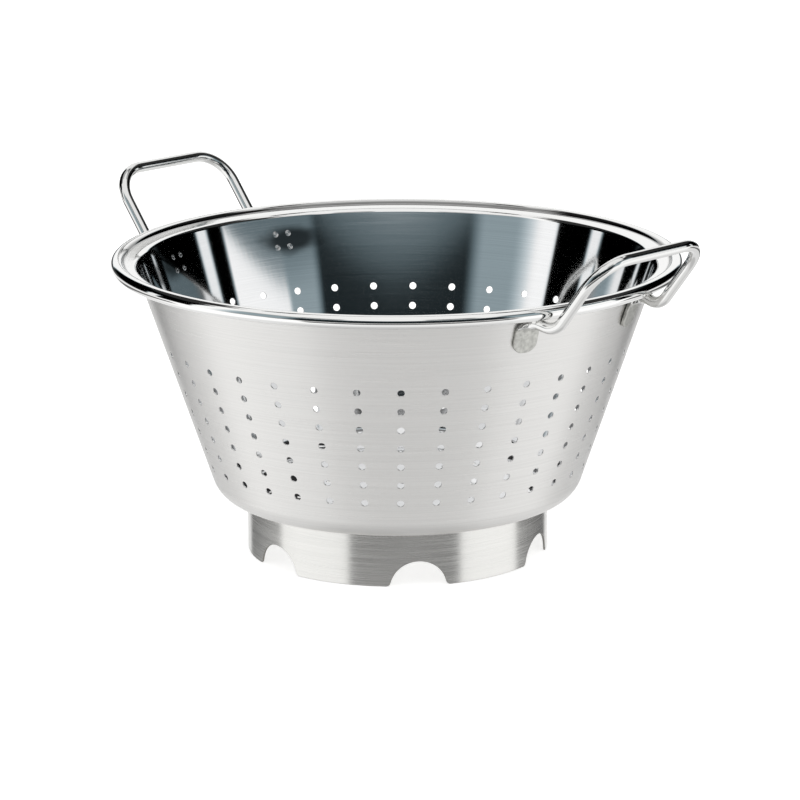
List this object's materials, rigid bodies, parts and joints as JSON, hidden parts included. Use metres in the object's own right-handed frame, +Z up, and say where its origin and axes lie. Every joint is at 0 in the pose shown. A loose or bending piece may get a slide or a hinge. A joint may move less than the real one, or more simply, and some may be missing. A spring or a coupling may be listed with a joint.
{
  "type": "colander",
  "caption": "Stainless steel colander: tapered perforated bowl with a rolled rim, welded wire loop handles and a notched foot ring.",
  "frame": {"origin": "centre of the foot ring's lower edge, on the surface that the colander stands on", "axes": "+Z up along the bowl's axis, X through both handles, Y across them"},
  "size_m": [0.432, 0.36, 0.225],
  "materials": {
    "bowl_steel": "circumferentially brushed outside, bright inside",
    "foot_steel": "brushed",
    "handle_steel": "polished",
    "weld_steel": "dull"
  },
  "bodies": {
    "root": {"bowl": "bowl_steel", "foot_ring": "foot_steel", "handle_right": "handle_steel", "handle_left": "handle_steel", "foot_welds": "weld_steel", "tab_welds_right_rear": "weld_steel", "tab_welds_right_front": "weld_steel", "tab_welds_left_rear": "weld_steel", "tab_welds_left_front": "weld_steel"}
  },
  "joints": []
}
